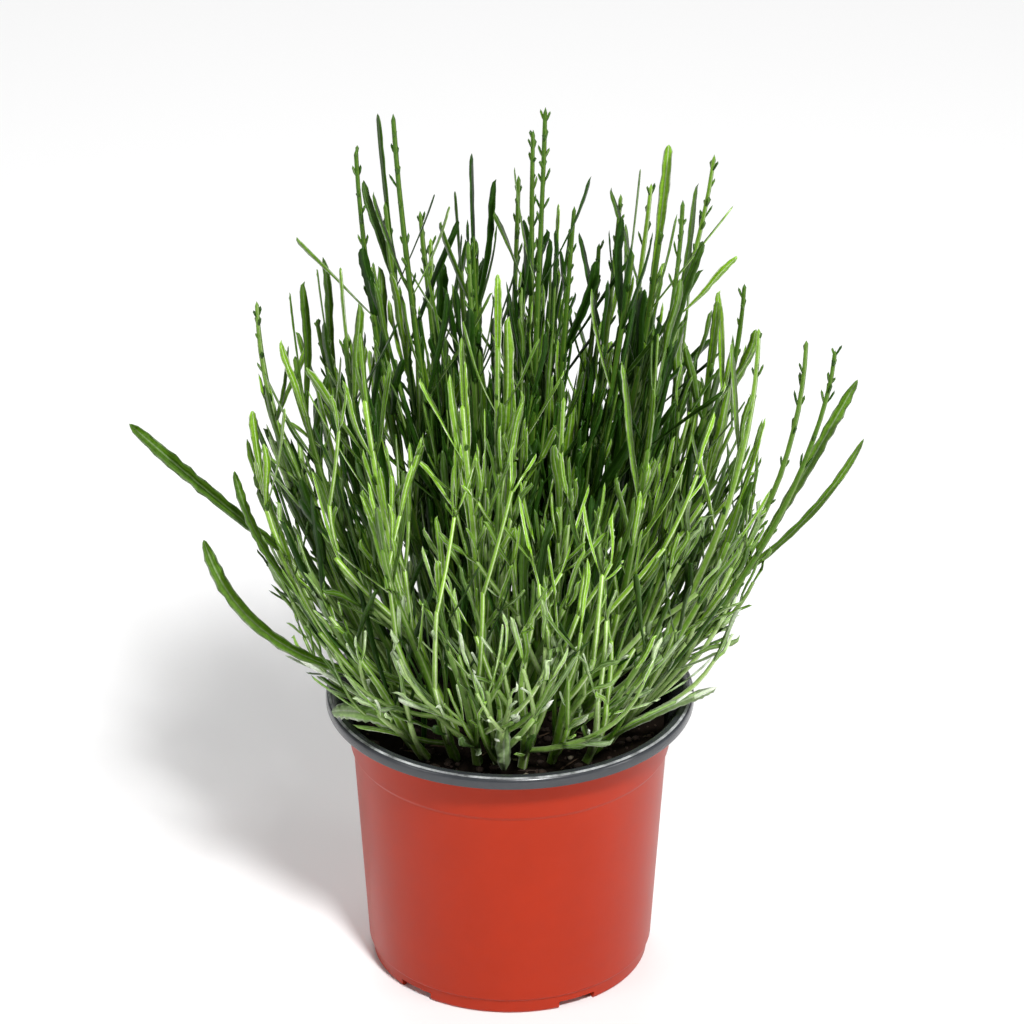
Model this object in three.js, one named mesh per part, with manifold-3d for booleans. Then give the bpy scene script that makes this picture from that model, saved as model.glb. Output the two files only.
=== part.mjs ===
// A young lavender in a 13 cm nursery pot, in millimetres, +Z up.
// The pot stands on z = 0 with its axis on the Z axis. The pot is a thin shell, the soil fills it,
// and every leafy stem is a body of its own that stands in a hole in the soil.
import * as THREE from 'three';
import { mergeVertices } from 'three/addons/utils/BufferGeometryUtils.js';
import Module from 'manifold-3d';

const wasm = await Module();
wasm.setup();

// The pot
const POT_HEIGHT = 105;
const RIM_RADIUS = 65;
const RIM_INNER_RADIUS = 61.3;
const LIP_DROP = 4.2;
const COLLAR_RADIUS = 57.6;
const COLLAR_BOTTOM = 83;
const WALL_TOP_RADIUS = 55.5;
const WALL_BOTTOM_RADIUS = 50.6;
const FOOT_RADIUS = 49.2;
const FOOT_BAND = 5.5;
const FLOOR_LIFT = 2.5;
const WALL = 1.2;
const MOUTH_RADIUS = WALL_TOP_RADIUS - WALL;
const POT_FLOOR = FLOOR_LIFT + 1.6;
const POT_SIDES = 40;

// Five notches in the foot ring, and a drain slot in the floor behind each
const NOTCHES = 5;
const FIRST_NOTCH = THREE.MathUtils.degToRad(-61);
const NOTCH_WIDTH = 14;
const NOTCH_HEIGHT = 3;
const DRAIN_LENGTH = 12;
const DRAIN_WIDTH = 5;

// Potting soil
const SOIL_EDGE = 92;
const SOIL_RISE = 3.5;
const SOIL_SIDES = 24;
const CRUMB = 0.8;
const GAP = 0.3;

// Stems: their feet stand closer together under tall shoots than under low ones
const ROOTED = 9;
const STEM_FOOT_RADIUS = 1.5;
const STEM_TIP_RADIUS = 0.75;
const STEM_STATIONS = [0, 0.16, 0.36, 0.6, 0.84];
const FOOT_CUT = 0.006;
const SWAY = 2.4;
const LOW_SHOOT = { height: 140, spread: 0.46 };
const TALL_SHOOT = { height: 331, spread: 0.26 };
const FOOT_SPACING = 4.8;
const HOLE_RADIUS = STEM_FOOT_RADIUS + 0.5;

// Young flower spikes
const BUD_PAIRS = 4;
const BUD_REACH = 2.1;
const BUD_UNDERCUT = 0.008;

// Leaves, and the stations of a blade at which it has a share of its full width
const LEAF_LENGTH = 50;
const LEAF_WIDTH = 4.4;
const KEEL = 0.66;
const BLADE = [{ at: 0, wide: 0 }, { at: 0.15, wide: 0.72 }, { at: 0.7, wide: 1 }, { at: 1, wide: 0 }];
const END_BLADE = [{ at: 0, wide: 0 }, { at: 0.3, wide: 0.8 }, { at: 0.7, wide: 1 }, { at: 1, wide: 0 }];
const LEAF_TRIES = 12;

// The room that leaves may fill, and the air left round each
const BUSH = { halfWidth: 90, halfDepth: 86, widestAt: 195, crown: 185 };
const CLEAR = 0.5;

// Edges shorter than this are closed up where bodies join
const FINEST = 0.04;

const PLASTIC = new THREE.MeshStandardMaterial({ color: 0xc4452c, roughness: 0.38, metalness: 0 });
const SOIL = new THREE.MeshStandardMaterial({ color: 0x2a1c14, roughness: 0.95, metalness: 0 });
const GREEN = new THREE.MeshStandardMaterial({ color: 0x4f7530, roughness: 0.6, metalness: 0 });

// Solids and geometries

function solidOf(geometry) {
  const bare = geometry.index ? geometry.toNonIndexed() : geometry.clone();
  bare.deleteAttribute('normal');
  bare.deleteAttribute('uv');
  const merged = mergeVertices(bare, 1e-4);
  return new wasm.Manifold(new wasm.Mesh({
    numProp: 3,
    vertProperties: merged.attributes.position.array,
    triVerts: new Uint32Array(merged.index.array),
  }));
}

function geometryOf(solid) {
  const mesh = solid.simplify(FINEST).getMesh();
  const geometry = new THREE.BufferGeometry();
  geometry.setAttribute('position', new THREE.BufferAttribute(mesh.vertProperties, 3));
  geometry.setIndex(new THREE.BufferAttribute(mesh.triVerts, 1));
  geometry.computeVertexNormals();
  return geometry;
}

// Turns a profile of [radius, height] pairs round the Z axis.
function turned(profile, sides) {
  const points = profile.map(([radius, height]) => new THREE.Vector2(radius, height));
  return new THREE.LatheGeometry(points, sides).rotateX(Math.PI / 2);
}

// A number from 0 to 1 that belongs to one shoot, one leaf of it and one question about that leaf.
function draw(shoot, leaf, question) {
  let h = Math.imul(shoot + 1, 374761393) + Math.imul(leaf + 1, 668265263);
  h += Math.imul(question + 1, 2246822519);
  h = Math.imul(h ^ (h >>> 15), 2246822519);
  h = Math.imul(h ^ (h >>> 13), 3266489917);
  return ((h ^ (h >>> 16)) >>> 0) / 4294967296;
}

// The pot: foot ring, wall, collar and rolled rim in one skin

function makePot() {
  const lipBottom = POT_HEIGHT - LIP_DROP;
  const shell = solidOf(turned([
    [0, FLOOR_LIFT],
    [FOOT_RADIUS - 2.6, FLOOR_LIFT],
    [FOOT_RADIUS - 2.2, 0],
    [FOOT_RADIUS - 0.8, 0],
    [FOOT_RADIUS, 0.9],
    [FOOT_RADIUS + 0.3, FOOT_BAND],
    [WALL_BOTTOM_RADIUS, FOOT_BAND + 1],
    [WALL_TOP_RADIUS, COLLAR_BOTTOM],
    [WALL_TOP_RADIUS + 1, COLLAR_BOTTOM + 1.4],
    [COLLAR_RADIUS, lipBottom - 2.4],
    [COLLAR_RADIUS + 3.4, POT_HEIGHT - WALL - 0.4],
    [RIM_RADIUS - WALL, POT_HEIGHT - WALL - 0.4],
    [RIM_RADIUS - WALL, lipBottom],
    [RIM_RADIUS, lipBottom],
    [RIM_RADIUS, POT_HEIGHT - 1],
    [RIM_RADIUS - 1, POT_HEIGHT],
    [RIM_INNER_RADIUS, POT_HEIGHT],
    [COLLAR_RADIUS - WALL, lipBottom - 2.8],
    [WALL_TOP_RADIUS - WALL, COLLAR_BOTTOM],
    [FOOT_RADIUS - 1.6, POT_FLOOR],
    [0, POT_FLOOR],
  ], POT_SIDES));
  const cutters = [];
  for (let i = 0; i < NOTCHES; i += 1) {
    const turn = FIRST_NOTCH + (i * 2 * Math.PI) / NOTCHES;
    const notch = new THREE.BoxGeometry(8, NOTCH_WIDTH, 2 * NOTCH_HEIGHT);
    notch.translate(FOOT_RADIUS, 0, 0).rotateZ(turn);
    const drain = new THREE.BoxGeometry(DRAIN_WIDTH, DRAIN_LENGTH, 3 * FLOOR_LIFT);
    drain.translate(FOOT_RADIUS - 9, 0, FLOOR_LIFT).rotateZ(turn);
    cutters.push(solidOf(notch), solidOf(drain));
  }
  return cutters.reduce((pot, cutter) => pot.subtract(cutter), shell);
}

// Leafy stems. A shoot's place is read off the plant: how far its tip lies across and behind the
// pot's axis, how high it stands above the floor, how strongly it sprawls before it turns up,
// and whether it ends in a young flower spike or in a blade.

const SHOOTS = [
  // Tall shoots of the crown, from left to right
  { across: -52, behind: 8, height: 309, sprawl: 1.5, spike: true },
  { across: -45, behind: 26, height: 314, sprawl: 1.3, spike: false },
  { across: -39, behind: -6, height: 328, sprawl: 1.3, spike: true },
  { across: -31, behind: 34, height: 274, sprawl: 1.2, spike: true },
  { across: -19, behind: 44, height: 277, sprawl: 0.9, spike: false },
  { across: -14, behind: -12, height: 284, sprawl: 1.2, spike: true },
  { across: -13, behind: 22, height: 301, sprawl: 1.6, spike: false },
  { across: 3, behind: 57, height: 277, sprawl: 1.2, spike: true },
  { across: 8, behind: 34, height: 304.5, sprawl: 1.2, spike: true },
  { across: 12, behind: 4, height: 326, sprawl: 1.1, spike: true },
  { across: 17, behind: 62, height: 264, sprawl: 0.9, spike: false },
  { across: 22, behind: 16, height: 284, sprawl: 1.1, spike: true },
  { across: 31, behind: 42, height: 258, sprawl: 1.2, spike: true },
  { across: 38, behind: 26, height: 284, sprawl: 1.3, spike: true },
  { across: 44, behind: -2, height: 306, sprawl: 1.3, spike: false },
  { across: 49, behind: 48, height: 278, sprawl: 1.3, spike: true },
  { across: 54, behind: 18, height: 306, sprawl: 1.4, spike: false },
  { across: 58, behind: -14, height: 300, sprawl: 1.6, spike: true },
  { across: 70, behind: 30, height: 297, sprawl: 1.2, spike: true },
  // Right flank
  { across: 63, behind: 54, height: 236, sprawl: 1.6, spike: false },
  { across: 71, behind: 8, height: 252, sprawl: 1.9, spike: false },
  { across: 81, behind: 26, height: 250, sprawl: 1.8, spike: true },
  { across: 84, behind: -22, height: 256, sprawl: 2.0, spike: true },
  { across: 74, behind: 46, height: 208, sprawl: 1.3, spike: false },
  { across: 102, behind: 10, height: 236, sprawl: 1.9, spike: true },
  { across: 111, behind: -6, height: 240, sprawl: 1.6, spike: true },
  { across: 78, behind: -42, height: 200, sprawl: 1.3, spike: false },
  // Left flank
  { across: -87, behind: 14, height: 249, sprawl: 1.9, spike: true },
  { across: -75, behind: -2, height: 260, sprawl: 1.8, spike: false },
  { across: -67, behind: 36, height: 251, sprawl: 1.7, spike: false },
  { across: -57, behind: -14, height: 275, sprawl: 1.8, spike: false },
  { across: -88, behind: -16, height: 222, sprawl: 2.0, spike: false },
  { across: -80, behind: 34, height: 186, sprawl: 1.1, spike: false },
  { across: -72, behind: -46, height: 190, sprawl: 1.3, spike: false },
  // Front, bright shoots over paler low ones
  { across: -4, behind: -32, height: 281, sprawl: 1.4, spike: false },
  { across: -16, behind: -54, height: 268, sprawl: 1.7, spike: false },
  { across: -50, behind: -42, height: 264, sprawl: 1.8, spike: false },
  { across: 18, behind: -56, height: 247, sprawl: 1.7, spike: true },
  { across: 48, behind: -48, height: 246, sprawl: 1.8, spike: false },
  { across: 33, behind: -76, height: 212, sprawl: 1.3, spike: false },
  { across: -44, behind: -72, height: 214, sprawl: 1.3, spike: false },
  { across: -24, behind: -76, height: 196, sprawl: 1.3, spike: false },
  { across: 8, behind: -78, height: 190, sprawl: 1.3, spike: false },
  { across: 54, behind: -66, height: 176, sprawl: 1.1, spike: false },
  { across: -56, behind: -60, height: 160, sprawl: 1.1, spike: false },
  { across: -6, behind: -66, height: 150, sprawl: 1.1, spike: false },
  // Back of the bush
  { across: -68, behind: 56, height: 222, sprawl: 1.3, spike: true },
  { across: -50, behind: 68, height: 204, sprawl: 1.3, spike: false },
  { across: -28, behind: 72, height: 246, sprawl: 1.6, spike: true },
  { across: -6, behind: 78, height: 212, sprawl: 1.3, spike: false },
  { across: 20, behind: 80, height: 226, sprawl: 1.8, spike: true },
  { across: 44, behind: 72, height: 212, sprawl: 1.3, spike: false },
  { across: 64, behind: 62, height: 200, sprawl: 1.3, spike: false },
  { across: -34, behind: 76, height: 160, sprawl: 1.1, spike: false },
  { across: 4, behind: 66, height: 156, sprawl: 1.1, spike: false },
  { across: 68, behind: 24, height: 172, sprawl: 1.1, spike: true },
];

// Long leaves that stand out of the bush: the shoot that bears each, how far up it, and its reach.
const REACHING = [
  { shoot: 31, from: 0.6, elbow: [-98, -22, 188], tip: [-129, -30, 224], width: 6 },
  { shoot: 31, from: 0.45, elbow: [-88, -26, 172], tip: [-94, -26, 204], width: 4 },
  { shoot: 33, from: 0.4, elbow: [-94, -42, 144], tip: [-104, -44, 187], width: 6 },
  { shoot: 25, from: 0.5, elbow: [98, 2, 180], tip: [120, 8, 222], width: 5 },
  { shoot: 55, from: 0.35, elbow: [102, 34, 136], tip: [125, 40, 183], width: 3.6 },
  { shoot: 43, from: 0.2, elbow: [56, -34, 118], tip: [72, -14, 112], width: 2.8 },
  { shoot: 45, from: 0.45, elbow: [-2, -56, 122], tip: [-2, -50, 99.5], width: 4.6 },
  { shoot: 44, from: 0.32, elbow: [-50, -44, 122], tip: [-62, -30, 112], width: 5 },
];

// Where the soil's surface lies at a place: a low mound with crumbs.
function soilHeight(x, y) {
  const share = Math.min(1, Math.hypot(x, y) / WALL_TOP_RADIUS);
  const crumbs = Math.sin(x * 0.71 + 1.3) * Math.sin(y * 0.83 + 0.4) + Math.sin(x * 0.37 - y * 0.53);
  return SOIL_EDGE + SOIL_RISE * (1 - share * share) + CRUMB * crumbs * (1 - share ** 6);
}

// The point of a stem at a share of its height.
function along(stem, share) {
  const out = 1 - (1 - share) ** stem.sprawl;
  const sway = SWAY * Math.sin(Math.PI * share) * Math.sin(2 * Math.PI * (share + stem.phase));
  return new THREE.Vector3(
    stem.foot.x + (stem.tip.x - stem.foot.x) * out + sway * stem.tip.y / 90,
    stem.foot.y + (stem.tip.y - stem.foot.y) * out - sway * stem.tip.x / 90,
    stem.foot.z + (stem.tip.z - stem.foot.z) * share,
  );
}

function direction(stem, share) {
  const step = 0.01;
  return along(stem, Math.min(1, share + step)).sub(along(stem, share - step)).normalize();
}

// A body drawn along a path and pointed at both ends: the rings of a ball are moved onto it, from
// pole to pole. frame(ring) gives the centre of a ring and its two half axes.
function drawn(sides, steps, frame) {
  const geometry = new THREE.SphereGeometry(1, sides, steps);
  const position = geometry.attributes.position;
  for (let i = 0; i < position.count; i += 1) {
    const [x, y, z] = [position.getX(i), position.getY(i), position.getZ(i)];
    const fromTop = Math.acos(THREE.MathUtils.clamp(y, -1, 1)) / Math.PI;
    const { centre, side, back } = frame(Math.round((1 - fromTop) * steps));
    const spread = Math.hypot(x, z);
    if (spread > 1e-6) {
      centre.addScaledVector(side, x / spread).addScaledVector(back, z / spread);
    }
    position.setXYZ(i, centre.x, centre.y, centre.z);
  }
  return solidOf(geometry);
}

// A stem is square in section, as in all the mint family.
function stemFrame(stem, height) {
  const tangent = direction(stem, height);
  const side = new THREE.Vector3(Math.cos(stem.twist), Math.sin(stem.twist), 0).cross(tangent).normalize();
  return { tangent, side, back: side.clone().cross(tangent) };
}

// The rings of a stem: shares of its length with the half widths there. The foot is cut to a point.
// A young flower spike adds pairs of bud scales, each pair across the last, as flared rings with
// an undercut above them.
function stemRings(stem) {
  const rings = [{ at: 0, wide: 0, deep: 0 }];
  for (const station of STEM_STATIONS) {
    const radius = THREE.MathUtils.lerp(STEM_FOOT_RADIUS, STEM_TIP_RADIUS, station);
    rings.push({ at: Math.max(station, FOOT_CUT), wide: radius, deep: radius });
  }
  if (stem.spike) {
    for (let pair = 0; pair < BUD_PAIRS; pair += 1) {
      const at = THREE.MathUtils.lerp(STEM_STATIONS.at(-1), 1, (pair + 0.8) / BUD_PAIRS);
      const reach = BUD_REACH - 0.25 * pair;
      const [wide, deep] = pair % 2 ? [STEM_TIP_RADIUS, reach] : [reach, STEM_TIP_RADIUS];
      rings.push({ at, wide, deep });
      rings.push({ at: at - BUD_UNDERCUT, wide: STEM_TIP_RADIUS, deep: STEM_TIP_RADIUS });
    }
  }
  rings.push({ at: 1, wide: 0, deep: 0 });
  return rings;
}

function stemBody(stem) {
  const rings = stemRings(stem);
  return drawn(4, rings.length - 1, (ring) => {
    const { at, wide, deep } = rings[ring];
    const { side, back } = stemFrame(stem, at * stem.end);
    const centre = along(stem, at * stem.end);
    return { centre, side: side.multiplyScalar(wide), back: back.multiplyScalar(deep) };
  });
}

// A point on the axis of the stem's straight lengths, where leaves take root.
function onStem(stem, share) {
  const at = Math.min(share / stem.end, STEM_STATIONS.at(-1));
  const next = Math.max(1, STEM_STATIONS.findIndex((station) => station >= at));
  const [low, high] = [STEM_STATIONS[next - 1], STEM_STATIONS[next]];
  return along(stem, low * stem.end).lerp(along(stem, high * stem.end), (at - low) / (high - low));
}

// A leaf's midline is a curve from its root on the stem's axis past an elbow to its tip.
function midline(leaf, share) {
  const rest = 1 - share;
  return new THREE.Vector3()
    .addScaledVector(leaf.root, rest * rest)
    .addScaledVector(leaf.elbow, 2 * rest * share)
    .addScaledVector(leaf.tip, share * share);
}

// A blade is a three-sided spindle: flat above, with a keel below, and pointed at both ends.
function leafBody(leaf, stations) {
  return drawn(3, stations.length - 1, (ring) => {
    const { at, wide } = stations[ring];
    const tangent = midline(leaf, Math.min(1, at + 0.02)).sub(midline(leaf, Math.max(0, at - 0.02)));
    tangent.normalize();
    const face = leaf.up.clone().addScaledVector(tangent, -leaf.up.dot(tangent)).normalize();
    const half = (leaf.width * wide) / 2;
    return {
      centre: midline(leaf, at),
      side: face.clone().multiplyScalar(KEEL * Math.sqrt(wide)),
      back: face.clone().cross(tangent).multiplyScalar(half / Math.sin(Math.PI / 3)),
    };
  });
}

// A leaf of a pair: level counts the pairs up the stem, and each try turns it to another free place.
function pairedLeaf(stem, level, hand, attempt) {
  const leaf = level * 2 + hand;
  const share = THREE.MathUtils.lerp(stem.firstPair, stem.lastPair, level / (stem.levels - 1));
  const turn = stem.twist + (level % 2) * Math.PI / 2 + hand * Math.PI
    + (draw(stem.index, leaf, 1) - 0.5) * 0.7 + attempt * 0.9 * (attempt % 2 ? 1 : -1);
  const up = direction(stem, share).add(new THREE.Vector3(0, 0, 0.25)).normalize();
  const out = new THREE.Vector3(Math.cos(turn), Math.sin(turn), 0);
  out.addScaledVector(up, -out.dot(up)).normalize();
  const size = 1 - 0.4 * Math.abs(level / stem.levels - 0.35) - 0.05 * attempt;
  const half = (LEAF_LENGTH / 2) * size * (0.8 + 0.4 * draw(stem.index, leaf, 2));
  const opens = 0.3 + 0.25 * draw(stem.index, leaf, 3) + 0.3 * (1 - share);
  const ends = opens - 0.35 + 0.35 * draw(stem.index, leaf, 4);
  const step = (from, angle) => from.clone()
    .addScaledVector(up, Math.cos(angle) * half)
    .addScaledVector(out, Math.sin(angle) * half);
  const root = onStem(stem, share);
  const elbow = step(root, opens);
  const width = LEAF_WIDTH * (0.75 + 0.45 * draw(stem.index, leaf, 5));
  return { root, elbow, tip: step(elbow, ends), up, width };
}

// The blade in which a leafy shoot ends.
function endBlade(stem) {
  const up = direction(stem, stem.end);
  const lean = new THREE.Vector3(Math.cos(stem.twist), Math.sin(stem.twist), 0);
  return {
    root: onStem(stem, stem.end),
    elbow: along(stem, (stem.end + 1) / 2),
    tip: along(stem, 1),
    up: lean.addScaledVector(up, -0.2),
    width: LEAF_WIDTH * (0.9 + 0.3 * draw(stem.index, 90, 5)),
  };
}

// A long leaf that stands out of the bush, its elbow raised a little with each try.
function reachingLeaf(stem, { from, elbow, tip, width }, attempt) {
  return {
    root: onStem(stem, from),
    elbow: new THREE.Vector3(...elbow).add(new THREE.Vector3(0, 0, 3 * attempt)),
    tip: new THREE.Vector3(...tip),
    up: new THREE.Vector3(0.1, -0.8, 0.6),
    width,
  };
}

// Balls along a path stand for a body while the next one looks for a free place.
function balls(path, from, count, radius) {
  return Array.from({ length: count }, (_, i) => {
    const share = from + ((1 - from) * i) / (count - 1);
    return { centre: path(share), radius: radius(share) };
  });
}

function clash(mine, others, clear) {
  return mine.some((a) => others.some((b) => {
    const reach = a.radius + b.radius + clear;
    return a.centre.distanceToSquared(b.centre) < reach * reach;
  }));
}

// Keeps stems and leaves out of the rim, and leaves off the soil.
function inRim({ centre: { x, y, z }, radius }) {
  const out = Math.hypot(x, y);
  const beyond = out > RIM_RADIUS + radius + CLEAR;
  return !beyond && out > MOUTH_RADIUS - radius - CLEAR && z < POT_HEIGHT + radius + CLEAR;
}

function inSoil({ centre: { x, y, z }, radius }) {
  return Math.hypot(x, y) < MOUTH_RADIUS && z < soilHeight(x, y) + radius + CLEAR;
}

// The bush swells to its widest above the rim and draws in towards the crown.
function inBush(tip) {
  const rise = (tip.z - BUSH.widestAt) / BUSH.crown;
  return Math.hypot(tip.x / BUSH.halfWidth, tip.y / BUSH.halfDepth, rise) < 1;
}

// Each stem's foot is tried on a widening spiral until the whole stem stands clear of the others.
const stems = [];
SHOOTS.forEach((shoot, index) => {
  const stem = {
    index,
    ...shoot,
    tip: new THREE.Vector3(shoot.across, shoot.behind, shoot.height),
    phase: draw(index, 0, 7),
    twist: 2 * Math.PI * draw(index, 0, 8),
    end: shoot.spike ? 1 : 0.86,
    levels: shoot.height > 240 ? 4 : 3,
    firstPair: shoot.behind < -20 ? 0.16 : 0.22,
    lastPair: shoot.spike ? 0.72 : 0.82,
  };
  const tallness = THREE.MathUtils.inverseLerp(LOW_SHOOT.height, TALL_SHOOT.height, shoot.height);
  const spread = THREE.MathUtils.lerp(LOW_SHOOT.spread, TALL_SHOOT.spread, tallness);
  const others = stems.flatMap((other) => other.balls);
  for (let attempt = 0; !stem.balls; attempt += 1) {
    const reach = 0.7 * Math.sqrt(attempt);
    const x = spread * shoot.across + reach * Math.cos(attempt * 2.4);
    const y = spread * shoot.behind + reach * Math.sin(attempt * 2.4);
    stem.foot = new THREE.Vector3(x, y, soilHeight(x, y) - ROOTED);
    if (stems.some((other) => Math.hypot(other.foot.x - x, other.foot.y - y) < FOOT_SPACING)) continue;
    const thickness = (share) => THREE.MathUtils.lerp(STEM_FOOT_RADIUS, STEM_TIP_RADIUS, share);
    const tried = balls((share) => along(stem, share), 0, 90, thickness);
    if (!tried.some(inRim) && !clash(tried, others, CLEAR)) stem.balls = tried;
  }
  stem.bodies = [stemBody(stem)];
  stems.push(stem);
});

// A leaf is kept where it clears the pot, the soil and every other stem. Beyond its neck it also
// clears the leaves of its own stem, unless it is one of the long ones or ends the shoot.
function place(stem, leaf, stations, alone) {
  const mine = balls((share) => midline(leaf, share), 0.12, 16, () => leaf.width / 2);
  if (mine.some((ball) => inRim(ball) || inSoil(ball))) return false;
  if (stems.some((other) => other !== stem && clash(mine, other.balls, CLEAR))) return false;
  if (!alone && clash(mine.slice(5), stem.balls, 0)) return false;
  stem.balls.push(...mine);
  stem.bodies.push(leafBody(leaf, stations));
  return true;
}

for (const reach of REACHING) {
  const stem = stems[reach.shoot];
  let attempt = 0;
  while (!place(stem, reachingLeaf(stem, reach, attempt), BLADE, true)) attempt += 1;
}

for (const stem of stems.filter(({ spike }) => !spike)) place(stem, endBlade(stem), END_BLADE, true);

// Leaves look for their places pair by pair, so that every stem gets its share of the room.
for (let level = 0; level < 4; level += 1) {
  for (const stem of stems.filter(({ levels }) => level < levels)) {
    for (const hand of [0, 1]) {
      const tries = Array.from({ length: LEAF_TRIES }, (_, i) => pairedLeaf(stem, level, hand, i));
      tries.some((leaf) => inBush(leaf.tip) && place(stem, leaf, BLADE, false));
    }
  }
}

// The soil: a bumpy mound with a square hole for each stem

function makeSoil() {
  const top = WALL_TOP_RADIUS + 0.4;
  const geometry = turned([
    [0, POT_FLOOR + GAP],
    [FOOT_RADIUS - 2.4, POT_FLOOR + GAP],
    [WALL_TOP_RADIUS - WALL - 2 * GAP, COLLAR_BOTTOM - 1],
    [top - WALL - GAP, COLLAR_BOTTOM + 2.5],
    [top - WALL, SOIL_EDGE],
    [0.8 * top, SOIL_EDGE],
    [0.55 * top, SOIL_EDGE],
    [0.3 * top, SOIL_EDGE],
    [0, SOIL_EDGE],
  ], SOIL_SIDES);
  const position = geometry.attributes.position;
  for (let i = 0; i < position.count; i += 1) {
    const [x, y] = [position.getX(i), position.getY(i)];
    if (position.getZ(i) > SOIL_EDGE - 0.01) position.setZ(i, soilHeight(x, y));
  }
  return stems.reduce((soil, stem) => {
    const lean = onStem(stem, STEM_STATIONS[1] * stem.end).sub(stem.foot).normalize();
    const { side, back } = stemFrame(stem, 0);
    const hole = new THREE.CylinderGeometry(HOLE_RADIUS, HOLE_RADIUS, 3 * ROOTED, 4);
    hole.translate(0, 1.5 * ROOTED, 0).applyMatrix4(new THREE.Matrix4().makeBasis(side, lean, back));
    const bottom = stem.foot.clone().addScaledVector(lean, -2 * GAP);
    return soil.subtract(solidOf(hole.translate(bottom.x, bottom.y, bottom.z)));
  }, solidOf(geometry));
}

const plant = new THREE.Group();

function add(name, solid, material) {
  const mesh = new THREE.Mesh(geometryOf(solid), material);
  mesh.name = name;
  plant.add(mesh);
}

add('pot', makePot(), PLASTIC);
add('soil', makeSoil(), SOIL);
for (const stem of stems) {
  const number = String(stem.index + 1).padStart(2, '0');
  add(`leafy_stem_${number}`, wasm.Manifold.union(stem.bodies), GREEN);
}

export default plant;
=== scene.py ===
"""A young lavender in a 13 cm nursery pot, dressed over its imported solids."""

import math
import random

import bmesh
import bpy
from mathutils import Matrix, Vector, kdtree, noise


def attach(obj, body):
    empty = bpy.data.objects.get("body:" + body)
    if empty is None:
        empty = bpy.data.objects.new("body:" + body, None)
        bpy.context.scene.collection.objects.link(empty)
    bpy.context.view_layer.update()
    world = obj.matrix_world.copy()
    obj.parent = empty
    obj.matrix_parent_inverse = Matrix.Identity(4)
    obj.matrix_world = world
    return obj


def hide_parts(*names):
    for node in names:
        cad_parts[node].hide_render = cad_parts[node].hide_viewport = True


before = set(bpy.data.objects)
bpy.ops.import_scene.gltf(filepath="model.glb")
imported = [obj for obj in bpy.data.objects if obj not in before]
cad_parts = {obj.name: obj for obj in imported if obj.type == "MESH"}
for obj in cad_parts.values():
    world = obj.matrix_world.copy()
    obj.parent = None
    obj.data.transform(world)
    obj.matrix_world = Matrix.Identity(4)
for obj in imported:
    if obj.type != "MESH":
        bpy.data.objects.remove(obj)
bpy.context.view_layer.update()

# The studio: a plain pale floor under soft window-like lights, and a long lens that looks down on
# the plant from the front, as the photograph does.

MM = 0.001
LOOK_AT = Vector((0.00073, 0.0, 0.1746))
CAMERA_DISTANCE = 2.0
CAMERA_ELEVATION = math.radians(27.57)
LENS = 202.4
SENSOR_WIDTH = 36
FLOOR_HALF_WIDTH = 5
ROOM_LIGHT = 0.17

camera = bpy.data.cameras.new("camera")
camera.lens = LENS
camera.sensor_width = SENSOR_WIDTH
camera.clip_start = 0.1
camera.clip_end = 20
camera_stand = bpy.data.objects.new("camera", camera)
camera_stand.location = LOOK_AT + CAMERA_DISTANCE * Vector(
    (0, -math.cos(CAMERA_ELEVATION), math.sin(CAMERA_ELEVATION)))
camera_stand.rotation_euler = (math.pi / 2 - CAMERA_ELEVATION, 0, 0)
bpy.context.collection.objects.link(camera_stand)
bpy.context.scene.camera = camera_stand


def plain_material(name, colour, roughness):
    material = bpy.data.materials.new(name)
    material.use_nodes = True
    shader = material.node_tree.nodes["Principled BSDF"]
    shader.inputs["Base Color"].default_value = (*colour, 1)
    shader.inputs["Roughness"].default_value = roughness
    return material


bm = bmesh.new()
bmesh.ops.create_grid(bm, x_segments=1, y_segments=1, size=FLOOR_HALF_WIDTH)
floor_mesh = bpy.data.meshes.new("floor")
bm.to_mesh(floor_mesh)
bm.free()
floor_mesh.materials.append(plain_material("pale_floor", (0.93, 0.93, 0.93), 0.7))
floor = bpy.data.objects.new("floor", floor_mesh)
bpy.context.collection.objects.link(floor)


def softbox(name, place, size, power, aim=(0, 0, 0.15)):
    light = bpy.data.lights.new(name, "AREA")
    light.shape = "DISK"
    light.size = size
    light.energy = power
    stand = bpy.data.objects.new(name, light)
    stand.location = place
    stand.rotation_euler = (Vector(aim) - Vector(place)).to_track_quat("-Z", "Y").to_euler()
    bpy.context.collection.objects.link(stand)


softbox("key", (0.5, -1.45, 2.0), 0.4, 64)
softbox("fill", (-1.6, -1.0, 1.0), 1.0, 6)
softbox("top", (-0.3, 0.7, 2.0), 1.0, 12)
softbox("side", (1.7, -0.7, 0.6), 0.6, 6)
softbox("backdrop", (0, 2.6, 2.0), 1.4, 14, aim=(0, 1.4, 0))
world = bpy.data.worlds.new("studio")
world.use_nodes = True
world.node_tree.nodes["Background"].inputs["Color"].default_value = (1, 1, 1, 1)
world.node_tree.nodes["Background"].inputs["Strength"].default_value = ROOM_LIGHT
bpy.context.scene.world = world
bpy.context.scene.view_settings.view_transform = "Standard"


# The pot: one thin skin of satin nursery plastic, moulded in terracotta with a slate layer that
# lines the collar and rolls over the rim as the lip. The foot ring has five notches, and a drain
# slot lies behind each.

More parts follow.
